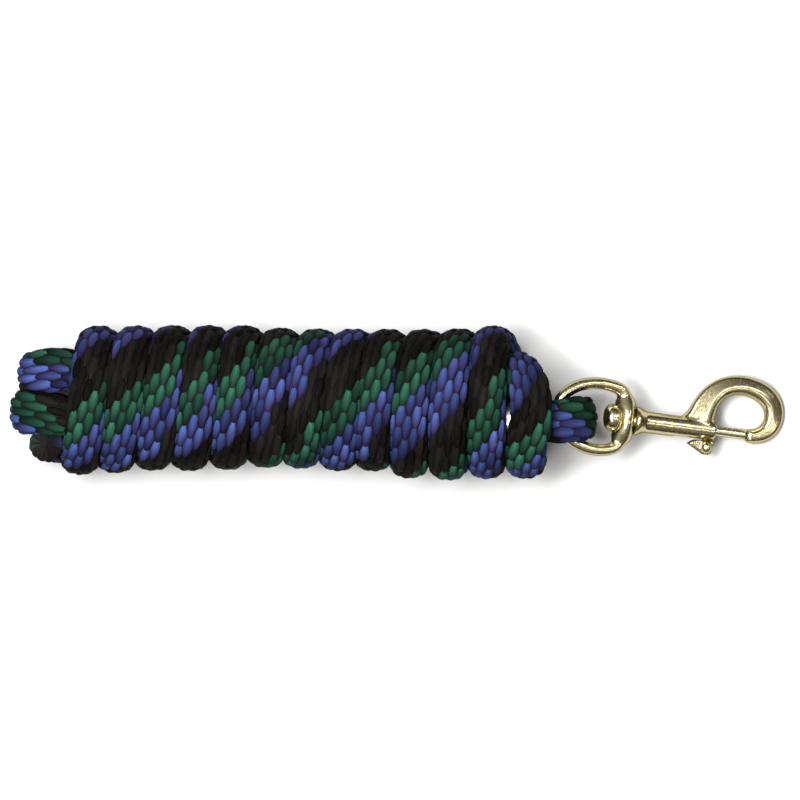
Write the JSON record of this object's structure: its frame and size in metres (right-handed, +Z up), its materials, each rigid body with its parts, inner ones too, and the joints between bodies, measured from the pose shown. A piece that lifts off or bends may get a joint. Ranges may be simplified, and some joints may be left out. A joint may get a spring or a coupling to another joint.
{
  "type": "lead rope",
  "caption": "Braided lead rope wound into a neat hank, its eye looped through the swivel ring of a spring bolt snap",
  "frame": {"origin": "on the surface that the rope lies on, below the middle of the bolt snap", "axes": "+X runs along the hank towards the snap's hook, +Y across the hank, +Z up from the surface"},
  "size_m": [0.3517, 0.0659, 0.066],
  "materials": {
    "rope": "tight braid of black, green and blue yarn, slightly shiny",
    "snap_metal": "pale nickel-washed brass casting, polished, soft reflections",
    "bolt_metal": "turned pin, polished",
    "clamp_steel": "bright zinc-plated strip",
    "spring_steel": "drawn spring wire"
  },
  "bodies": {
    "rope": {"rope_hank": "rope", "rope_eye_loop": "rope", "rope_clamp": "clamp_steel"},
    "swivel_eye": {"swivel_eye": "snap_metal"},
    "snap": {"snap_body": "snap_metal", "bolt_spring": "spring_steel"},
    "bolt": {"snap_bolt": "bolt_metal", "thumb_stud": "snap_metal"}
  },
  "joints": [
    {"name": "eye_swing", "type": "hinge", "parent": "rope", "child": "swivel_eye", "pos_m": [-0.05013, 0.00203, 0.032], "axis": [-0.1253, -0.9921, 0], "range_deg": [-35, 70]},
    {"name": "snap_swivel", "type": "hinge", "parent": "swivel_eye", "child": "snap", "pos_m": [-0.05013, 0.00203, 0.032], "axis": [0.9506, -0.1201, -0.2861], "continuous": true},
    {"name": "bolt_slide", "type": "slide", "parent": "snap", "child": "bolt", "axis": [-0.9506, 0.1201, 0.2861], "range_m": [0, 0.0135], "stiffness_N_per_m": 300, "springref_m": -0.004, "deforming": ["bolt_spring"]}
  ]
}
